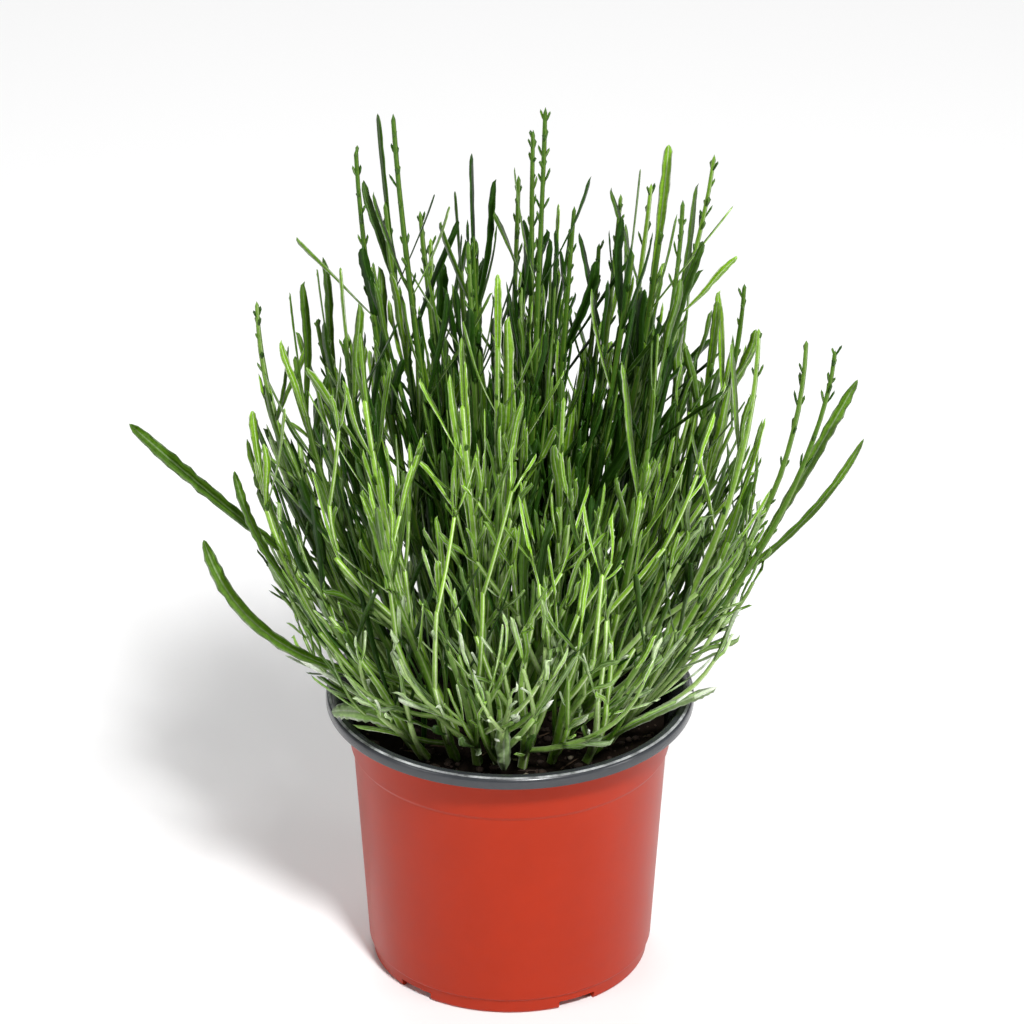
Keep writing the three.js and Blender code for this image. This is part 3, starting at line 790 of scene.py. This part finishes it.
def free_leaf(bodies, chance, root, up, out, length, width, opens, ends, own, top=NO_TOP,
              silver=0.0):
    """A narrow leaf where there is room for it, no higher than top. It leaves the root at the
    angle opens from up towards out, and ends at the angle ends. Says whether it was made."""
    elbow = root + (up * math.cos(opens) + out * math.sin(opens)) * length / 2
    tip = elbow + (up * math.cos(ends) + out * math.sin(ends)) * length / 2
    if not in_bush(tip, 1.02) or tip.z > top or root.z < LOWEST_LEAF or any(
            in_the_way(bend(root, elbow, tip, s), width / 2) for s in (0.3, 0.5, 0.7, 0.85, 1)):
        return False
    wave = chance.uniform(0.3, 1.9 if elbow.z < 180 else 1.0)
    shade = greenness(elbow, chance, own, silver)
    bodies.append(leaf_body(chance, (root, elbow, tip), up, width, shade, 7, NARROW,
                            chance.uniform(-0.9, 0.9), wave))
    return True


def side_shoot(bodies, chance, path, length, radius, gap, leaf, opens, own, top):
    """A side shoot along path(share), with opposite pairs of leaves and a blade at its end."""
    stops = [path(k / 8) for k in range(9)]
    if any(in_the_way(stop, radius) for stop in stops[1:]) or not in_bush(stops[-1], 1.0):
        return
    if stops[-1].z > top:
        return
    leaf_length, leaf_width = leaf
    shade = greenness(stops[4], chance, own + 0.2)
    bodies.append(stem_body(path, radius, 0.4 * radius, 8, shade, 6))
    spin = chance.uniform(0, math.pi)
    share, pair = 0.7 * gap / length, 0
    while share < 0.96:
        place = path(share)
        axis = (path(min(1, share + 0.04)) - path(share - 0.04)).normalized()
        for hand in (0, 1):
            turn = spin + pair * math.pi / 2 + hand * math.pi + chance.uniform(-0.35, 0.35)
            size = chance.uniform(0.6, 1.25) * (1 - 0.3 * share)
            free_leaf(bodies, chance, place, axis, square_out(turn, axis), leaf_length * size,
                      leaf_width * chance.uniform(0.7, 1.2), opens * chance.uniform(0.6, 1.5),
                      chance.uniform(-0.12, 0.1), own, top)
        pair += 1
        share += gap * chance.uniform(0.75, 1.25) / length
    ahead = (path(1) - path(0.94)).normalized()
    lean = Vector((chance.uniform(-1, 1), chance.uniform(-1, 1), 0)).normalized()
    free_leaf(bodies, chance, path(0.97), ahead, lean, chance.uniform(0.7, 1.2) * leaf_length,
              leaf_width * 1.1, 0.1, 0.0, own, top)


def beside(stem, start, stop, out, away, bow):
    """A path that leaves a stem at one share of it and runs up beside it to another."""
    side = Vector((-out.y, out.x, 0))

    def path(share):
        gone = 1 - (1 - share) ** 1.7
        sway = bow * math.sin(math.pi * share)
        return along(stem, lerp(start, stop, share)) + out * (away * gone) + side * sway

    return path


def twig(bodies, chance, root, heading, length, radius, forks, own, silver):
    """A bare twig that forks, and forks again, down to narrow blunt leaves. Says whether it was
    made. One with no room to fork is a leaf itself."""
    wild = Vector((chance.uniform(-1, 1), chance.uniform(-1, 1), chance.uniform(-0.3, 0.3)))
    bent = (heading + 0.2 * wild + Vector((0, 0, 0.3))).normalized()
    elbow = root + heading * length / 2
    tip = elbow + bent * length / 2
    if not in_bush(tip) or any(
            in_the_way(bend(root, elbow, tip, s), radius) for s in (0.4, 0.7, 1)):
        return False
    aside = heading.cross(wild).normalized()
    forked = []
    for hand in (-1, 1):
        start = bend(root, elbow, tip, 0.96)
        ahead = (bent + aside * (hand * chance.uniform(0.14, 0.38))).normalized()
        if forks:
            twig(forked, chance, start, ahead, length * chance.uniform(0.6, 0.95), 0.8 * radius,
                 forks - 1, own, silver)
        else:
            free_leaf(forked, chance, start, ahead, aside * hand, chance.uniform(16, 36),
                      chance.uniform(1.7, 2.4), 0.05, chance.uniform(-0.4, 0.2), own, silver=silver)
    if not forked:
        return free_leaf(bodies, chance, root, heading, wild, length, 1.8 * radius, 0.0, 0.2, own,
                         silver=silver)
    bodies.append(stem_body(lambda s: bend(root, elbow, tip, s), radius, 0.8 * radius, 6,
                            greenness(elbow, chance, own, silver), 6))
    bodies.extend(forked)
    if chance.random() < 0.6:
        free_leaf(bodies, chance, bend(root, elbow, tip, chance.uniform(0.3, 0.7)), bent,
                  aside * chance.choice((-1, 1)), chance.uniform(7, 18), chance.uniform(1.2, 1.9),
                  chance.uniform(0.3, 0.6), chance.uniform(-0.1, 0.3), own, silver=silver)
    return True


def runner(bodies, chance, root, out, length, rise, own, silver):
    """A thin low shoot that runs outwards over the rim and turns up at its end."""
    heading = (out + Vector((0, 0, rise))).normalized()
    elbow = root + heading * 0.6 * length
    tip = elbow + (0.35 * out + Vector((0, 0, 1))).normalized() * 0.45 * length
    if not in_bush(tip, 1.02) or any(
            in_the_way(bend(root, elbow, tip, s), 0.8) for s in (0.15, 0.3, 0.45, 0.6, 0.75, 1)):
        return
    bodies.append(stem_body(lambda s: bend(root, elbow, tip, s), 1.15, 0.6, 10,
                            greenness(elbow, chance, own, silver), 6))
    share = 0.2
    while share < 0.97:
        place = bend(root, elbow, tip, share)
        ahead, behind = (bend(root, elbow, tip, share + step) for step in (0.02, -0.02))
        axis = (ahead - behind).normalized()
        aside = axis.cross(Vector((chance.uniform(-1, 1), chance.uniform(-1, 1), 0.6))).normalized()
        for hand in (-1, 1):
            free_leaf(bodies, chance, place, axis, aside * hand, chance.uniform(12, 30),
                      chance.uniform(1.4, 2.2), chance.uniform(0.15, 0.4),
                      chance.uniform(-0.35, 0.2), own, silver=silver)
        share += chance.uniform(22, 36) / length
    free_leaf(bodies, chance, bend(root, elbow, tip, 0.97), (tip - elbow).normalized(), aside,
              chance.uniform(12, 24), 1.9, 0.1, -0.1, own, silver=silver)


# Colours: of a leaf's face, of the streaks along it, of its hairy edge and midrib, which also carry
# a painted highlight, and of a stem and its ridges, whose pale hairs also carry a painted
# highlight.
# Each is painted dark as shade inside the bush, bright in the light and pale where it is silvery.
# The plain ones are for a viewer that reads no nodes.
LEAF_DARK, LEAF_BRIGHT, LEAF_PALE = (0.014, 0.05, 0.002), (0.24, 0.5, 0.014), (0.24, 0.43, 0.09)
STREAK_DARK, STREAK_BRIGHT, STREAK_PALE = (0.02, 0.08, 0.006), (0.38, 0.62, 0.08), (0.58, 0.74, 0.3)
HAIR_HIGHLIGHT_DARK, HAIR_HIGHLIGHT_BRIGHT, HAIR_HIGHLIGHT_PALE = (0.05, 0.125, 0.016), (0.9, 0.96, 0.74), (0.92, 0.95, 0.86)
FURROW = (0.008, 0.04, 0.002)
PLAIN_LEAF, PLAIN_STEM = (0.1, 0.18, 0.04), (0.16, 0.26, 0.06)
STEM_DARK, STEM_BRIGHT, STEM_PALE = (0.045, 0.12, 0.006), (0.28, 0.52, 0.04), (0.4, 0.56, 0.2)
RIDGE_HIGHLIGHT_DARK, RIDGE_HIGHLIGHT_BRIGHT = (0.13, 0.2, 0.02), (0.88, 0.94, 0.7)


def attribute(tree, name):
    node = tree.nodes.new("ShaderNodeAttribute")
    node.attribute_name = name
    return node.outputs["Fac"]


def leaf_material():
    """Green felt with streaks along the leaf, furrows between them, and white hairs with a painted
    highlight that show on the midrib, in tufts on the edges and on the tips of silvery leaves."""
    material = plain_material("felted_leaf", PLAIN_LEAF, 0.34)
    tree = material.node_tree
    tint, pale = attribute(tree, "tint"), attribute(tree, "pale")
    across = reckoned(tree, "ABSOLUTE", attribute(tree, "across"))
    spot = tree.nodes.new("ShaderNodeCombineXYZ")
    for axis, name in zip("XYZ", ("across", "along", "tint")):
        tree.links.new(attribute(tree, name), spot.inputs[axis])
    stretched = tree.nodes.new("ShaderNodeMapping")
    stretched.inputs["Scale"].default_value = (2.6, 1.5, 40)
    tree.links.new(spot.outputs[0], stretched.inputs["Vector"])
    streaks = clouded(tree, stretched.outputs[0], 1.6, 3)
    where = tree.nodes.new("ShaderNodeTexCoord")
    tufts = clouded(tree, where.outputs["Object"], 170, 2)

    green = mixed(tree, pale, mixed(tree, tint, LEAF_DARK, LEAF_BRIGHT), LEAF_PALE)
    streak = mixed(tree, pale, mixed(tree, tint, STREAK_DARK, STREAK_BRIGHT), STREAK_PALE)
    # White hairs with a painted highlight, for the midrib, the edges and the tips
    hair_and_highlight = mixed(tree, pale, mixed(tree, tint, HAIR_HIGHLIGHT_DARK, HAIR_HIGHLIGHT_BRIGHT), HAIR_HIGHLIGHT_PALE)
    light_streaks = ranged(tree, streaks, 0.45, 0.7, 0.0, 0.5)
    furrows = ranged(tree, streaks, 0.5, 0.3, 0.0, 0.6)
    midrib = ranged(tree, across, 0.04, 0.16, 0.5, 0.0)
    edge = reckoned(tree, "MULTIPLY", ranged(tree, across, 0.66, 0.95),
                    ranged(tree, tufts, 0.42, 0.58, 0.25, 1.0))
    tip = reckoned(tree, "MULTIPLY", ranged(tree, attribute(tree, "along"), 0.25, 0.95), pale,
                   clamp=True)
    for mask, over in ((light_streaks, streak), (furrows, FURROW), (midrib, hair_and_highlight), (edge, hair_and_highlight),
                       (tip, hair_and_highlight)):
        green = mixed(tree, mask, green, over)
    return glossed(speckled(material, green, 700, 0.5, 0.6), 0.2)


def stem_material():
    """Smooth green, with pale hairs and a painted highlight on the ridges."""
    material = plain_material("green_stem", PLAIN_STEM, 0.5)
    tree = material.node_tree
    tint, pale = attribute(tree, "tint"), attribute(tree, "pale")
    green = mixed(tree, pale, mixed(tree, tint, STEM_DARK, STEM_BRIGHT), STEM_PALE)
    # Painted highlight, with pale hairs, on the ridges of the stem
    ridge_highlight = ranged(tree, attribute(tree, "across"), 0.55, 1, 0.0, 0.85, "LINEAR")
    green = mixed(tree, ridge_highlight, green, mixed(tree, tint, RIDGE_HIGHLIGHT_DARK, RIDGE_HIGHLIGHT_BRIGHT))
    return glossed(speckled(material, green, 600, 0.4, 0.5), 0.3)


SHORTEST, TALLEST = 140, 331
SPREAD_SHORT, SPREAD_TALL = 0.46, 0.26
FOOT_TRIES = 900
FOOT_STEP = 0.7
GOLDEN_TURN = 2.4
ROOT_DEPTH = 9
SAME_PLACE = 0.03
STEM_STEPS = 20


def standing(node):
    """A test of whether the solid of a node has a corner at a point."""
    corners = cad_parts[node].data.vertices
    lookup = kdtree.KDTree(len(corners))
    for k, corner in enumerate(corners):
        lookup.insert(corner.co / MM, k)
    lookup.balance()
    return lambda point: lookup.find(point)[2] < SAME_PLACE


def rooted(node, x, y, height, stands):
    """The foot of a shoot, at the spot nearest to its own where its solid has one."""
    spread = lerp(SPREAD_SHORT, SPREAD_TALL, (height - SHORTEST) / (TALLEST - SHORTEST))
    for attempt in range(FOOT_TRIES):
        reach = FOOT_STEP * math.sqrt(attempt)
        foot = Vector((spread * x + reach * math.cos(attempt * GOLDEN_TURN),
                       spread * y + reach * math.sin(attempt * GOLDEN_TURN), 0))
        foot.z = soil_height(foot.x, foot.y) - ROOT_DEPTH
        if stands(foot):
            return foot
    raise ValueError(f"{node} has no foot")


def grow_stem(bodies, chance, stem):
    """The stem itself, thicker on the shoots in front and painted brighter there, as lit."""
    thick, painted_light = (1.3, (-0.1, 0.5)) if stem["in_front"] else (1.1, (-0.15, 0.2))
    thin = 1 if stem["spike"] else 1.2
    shade = greenness(along(stem, 0.5), chance, stem["own"] + chance.uniform(*painted_light))
    bodies.append(stem_body(lambda share: along(stem, share * stem["end"]),
                            thick * STEM_FOOT_RADIUS, thin * STEM_TIP_RADIUS, STEM_STEPS,
                            shade))


LEAF_STEPS = 13
REACHING_STEPS = 23
SLIM, SLIM_IN_FRONT = (0.55, 0.85), (0.5, 0.75)
SHADED_BELOW = 190
ROLL = 0.9
WAVE = 0.9
UPWARD_SIDE = Vector((0.1, -0.8, 0.6))


def grow_leaves(bodies, chance, stem, stands):
    """The leaves that the solid has, slimmer, as broad ones hide the stems behind them."""
    index, own, in_front = stem["index"], stem["own"], stem["in_front"]
    for level in range(stem["levels"]):
        for hand in (0, 1):
            slim = chance.uniform(*SLIM_IN_FRONT if in_front else SLIM)
            for attempt in range(LEAF_TRIES):
                root, elbow, tip, up, width = paired_leaf(stem, level, hand, attempt)
                if stands(tip):
                    dark = in_front and elbow.z < SHADED_BELOW
                    shaded = chance.uniform(0, 0.45) if dark else 0
                    shade = greenness(elbow, chance, own - shaded)
                    bodies.append(leaf_body(chance, (root, elbow, tip), up, slim * width, shade,
                                            LEAF_STEPS, BROAD, chance.uniform(-ROLL, ROLL), WAVE))
                    break
    if not stem["spike"] and stands(along(stem, 1)):
        root, elbow, tip, up, width = end_blade(stem)
        bodies.append(leaf_body(chance, (root, elbow, tip), up, slim * width,
                                greenness(elbow, chance, own), LEAF_STEPS))
    for shoot, share, elbow, tip, width in REACHING:
        if shoot != index:
            continue
        root, up, tip = on_stem(stem, share), UPWARD_SIDE, Vector(tip)
        for attempt in range(20):
            raised = Vector(elbow) + Vector((0, 0, 3 * attempt))
            ahead = (bend(root, raised, tip, 0.72) - bend(root, raised, tip, 0.68)).normalized()
            face = (up - ahead * up.dot(ahead)).normalized()
            if stands(bend(root, raised, tip, 0.7) - face * KEEL):
                wider, shade = (1.2, (0.35, 0.3)) if index in BY_RIM else (
                    0.8, (chance.uniform(0.12, 0.3), 0.0))
                bodies.append(leaf_body(chance, (root, raised, tip), up, wider * width, shade,
                                        REACHING_STEPS))
                break


SCALES_FROM, SCALES_TO, SPIKE_FROM, SPIKE_TO = 0.4, 0.84, 0.8, 0.985
SCALE_LENGTH, SCALE_WIDTH = (4.2, 7.5), (1.1, 1.7)
SCALES_APART, SPIKE_SCALES_APART = (7, 15), (3.4, 8)


def grow_scales(bodies, chance, stem):
    """Small scale-like leaves in pairs up the stem, closer together in the young flower spike."""
    share, pair = SCALES_FROM, 0
    while share < (SPIKE_TO if stem["spike"] else SCALES_TO):
        place, axis = along(stem, share), direction(stem, share)
        crowded = stem["spike"] and share > SPIKE_FROM
        for hand in (0, 1):
            turn = stem["twist"] + (pair % 2) * math.pi / 2 + hand * math.pi
            out = square_out(turn + chance.uniform(-0.3, 0.3), axis)
            reach = chance.uniform(*SCALE_LENGTH) * (1 if share < 0.9 else 0.75)
            elbow = place + (axis * 0.86 + out * 0.5) * reach / 2
            tip = elbow + (axis * 0.98 + out * chance.uniform(0, 0.4)) * reach / 2
            if chance.random() < 0.8:
                width, tint = chance.uniform(*SCALE_WIDTH), chance.uniform(0.0, 0.25)
                bodies.append(leaf_body(chance, (place, elbow, tip), axis, width, (tint, 0.0), 4,
                                        NARROW))
        pair += 1
        share += chance.uniform(*SPIKE_SCALES_APART if crowded else SCALES_APART) / stem["rise"]


LONG_LENGTH, LONG_WIDTH, BRIGHT_WIDTH = (50, 100), (2.0, 3.6), (3.0, 4.4)


def grow_long_leaves(bodies, chance, stem):
    """Long leaves that run up along the stem, broad and high on the brightest shoots."""
    count, lift, top, widths, light = 3 if stem["tall"] else 2, 0, 0.84, LONG_WIDTH, 0
    if stem["own"] > 0.2:
        count, lift, top, widths, light = 3, 0.25, 0.97, BRIGHT_WIDTH, 0.3
    elif stem["in_front"]:
        count, light = 1, -0.25
    for k in range(count):
        start = lerp(0.1, 0.5, (k + chance.random()) / 6) + lift
        stop = start + chance.uniform(*LONG_LENGTH) / stem["rise"]
        away = level_out(chance.uniform(0, FULL_TURN)) * chance.uniform(3, 9)
        line = (along(stem, start), along(stem, (start + stop) / 2) + away,
                along(stem, stop) + 1.4 * away)
        if stop < top and in_bush(line[2]) and not any(
                in_the_way(bend(*line, share), 2.5) for share in (0.3, 0.5, 0.7, 0.85, 1)):
            width = chance.uniform(*widths)
            shade = greenness(line[1], chance, stem["own"] + light)
            bodies.append(leaf_body(chance, line, away.normalized(), width, shade, 12, BROAD,
                                    chance.uniform(-0.7, 0.7), chance.uniform(0, 1.2)))


# Radius of a side shoot, gap between its pairs, and length and width of its leaves
SIDE_SHOOT = 1.15, 24, (34, 1.9)
SIDE_BELOW_TIP = 42
INNER_SHOOT = 0.7, 13, (32, 2.5)
INNER_REACH = 34
INNER_TOP = 225
# Inner shoots are painted dark, as the shade inside the bush
INNER_PAINTED_SHADE = -0.4


def grow_side_shoots(bodies, chance, stem):
    """Side shoots that fork off low down and run up close beside the stem."""
    rise, in_front = stem["rise"], stem["in_front"]
    for k in range(1 if in_front or not stem["tall"] else 3):
        start = lerp(0.1, 0.5, (k + chance.random()) / 4)
        stop = min(0.9, start + chance.uniform(0.3, 0.5))
        out = level_out(stem["twist"] + k * 2.4 + chance.uniform(-0.4, 0.4))
        path = beside(stem, start, stop, out, chance.uniform(5, 15), chance.uniform(-4, 4))
        # Side shoots in front are painted darker, as shade behind the bright twigs and stems
        own = stem["own"] + (chance.uniform(-0.4, 0) if in_front else chance.uniform(-0.2, 0.2))
        side_shoot(bodies, chance, path, (stop - start) * rise, *SIDE_SHOOT, 0.15, own,
                   stem["height"] - SIDE_BELOW_TIP)


def grow_inner_shoots(bodies, chance, stem):
    """Dark ones that fill the inside of the bush, painted dark as its shade, from the stems that
    stand near its middle.
    """
    inward = Vector((-along(stem, 0.3).x, -along(stem, 0.3).y, 0))
    if inward.length >= INNER_REACH:
        return
    inward.normalize()
    for k in range(4):
        start = lerp(0.08, 0.45, (k + chance.random()) / 4)
        stop = start + chance.uniform(30, 55) / stem["rise"]
        askew = Vector((chance.uniform(-0.8, 0.8), chance.uniform(-0.8, 0.8), 0))
        path = beside(stem, start, stop, (inward + askew).normalized(), chance.uniform(6, 20),
                      chance.uniform(-3, 3))
        side_shoot(bodies, chance, path, (stop - start) * stem["rise"], *INNER_SHOOT, 0.25,
                   INNER_PAINTED_SHADE, INNER_TOP)


# How silvery a twig or runner is, one as likely as another
SILVERS = (0, 0.3, 0.75)
TWIG_LENGTH, TWIG_RADIUS = (28, 54), 1.25
TWIGS_OUTSIDE, RUNNERS_OUTSIDE = 50, 60
RUNNER_LENGTH, RUNNER_START = (42, 78), (99, 118)


def grow_twigs(bodies, chance, stem):
    """Long forked twigs round the foot of the stem."""
    in_front = stem["in_front"]
    twigs = 4 if in_front else 1 if stem["edge"] > TWIGS_OUTSIDE else 0
    for k in range(twigs):
        share = lerp(0.06, 0.36, (k + chance.random()) / max(3, twigs))
        place, axis = along(stem, share), direction(stem, share)
        out = level_out(stem["facing"] + chance.uniform(-1.2, 1.2))
        heading = (axis + out * chance.uniform(0.2, 0.7)).normalized()
        length, forks = chance.uniform(*TWIG_LENGTH), 1 + (chance.random() < 0.4)
        # Twigs in front are painted brighter, as lit
        own = chance.uniform(0.0, 0.55) if in_front else chance.uniform(-0.1, 0.2)
        twig(bodies, chance, place, heading, length, TWIG_RADIUS, forks, own,
             chance.choice(SILVERS))


def grow_runners(bodies, chance, stem):
    """Low runners that sweep out over the rim."""
    foot = stem["foot"].z
    for k in range(0 if stem["edge"] < RUNNERS_OUTSIDE else 1 if stem["tall"] else 2):
        place = along(stem, (chance.uniform(*RUNNER_START) - foot) / (stem["height"] - foot))
        out = level_out(stem["facing"] + chance.uniform(-1.0, 1.0))
        runner(bodies, chance, place, out, chance.uniform(*RUNNER_LENGTH),
               chance.uniform(0.15, 0.7), chance.uniform(0.0, 0.2), chance.choice(SILVERS))


CLOSE_LENGTH, CLOSE_WIDTH, CLOSE_APART = (20, 40), (1.8, 2.6), (24, 36)


def grow_close_pairs(bodies, chance, stem):
    """Pairs of leaves close along the stem itself."""
    share, pair = 0.6 if stem["in_front"] else 0.45, 0
    while share < (0.66 if stem["spike"] else 0.78):
        place, axis = along(stem, share), direction(stem, share)
        for hand in (0, 1):
            out = square_out(stem["twist"] + 0.8 + pair * math.pi / 2 + hand * math.pi, axis)
            free_leaf(bodies, chance, place, axis, out, chance.uniform(*CLOSE_LENGTH),
                      chance.uniform(*CLOSE_WIDTH), chance.uniform(0.1, 0.25),
                      chance.uniform(-0.1, 0.02), stem["own"], stem["height"] - 10)
        pair += 1
        share += chance.uniform(*CLOSE_APART) / stem["rise"]


FRONT = -20
TALL = 240
RISES_FROM = 90
LEAF = leaf_material()
STEM = stem_material()

for index, (x, y, height, sprawl, spike) in enumerate(SHOOTS):
    node = f"leafy_stem_{index + 1:02d}"
    stands = standing(node)
    in_front = y < FRONT
    chance = random.Random(1000 + index)
    stem = {
        "index": index,
        "foot": rooted(node, x, y, height, stands),
        "tip": Vector((x, y, height)),
        "height": height,
        "rise": height - RISES_FROM,
        "edge": math.hypot(x, y),
        "facing": math.atan2(y, x),
        "sprawl": sprawl,
        "spike": spike,
        "tall": height > TALL,
        "in_front": in_front,
        "phase": draw(index, 0, 7),
        "twist": 2 * math.pi * draw(index, 0, 8),
        "end": 1 if spike else 0.86,
        "levels": 4 if height > TALL else 3,
        "first_pair": 0.16 if in_front else 0.22,
        "last_pair": 0.72 if spike else 0.82,
        "own": BRIGHT.get(index, -chance.uniform(0, 0.12)),
    }
    bodies = []
    grow_stem(bodies, chance, stem)
    grow_leaves(bodies, chance, stem, stands)
    for grow in (grow_scales, grow_long_leaves, grow_side_shoots, grow_inner_shoots, grow_twigs,
                 grow_runners, grow_close_pairs):
        grow(bodies, chance, stem)
    finished(f"{node}_leaves", grown(bodies), [LEAF, STEM], [node])
for mesh, _ in BALLS.values():
    bpy.data.meshes.remove(mesh)
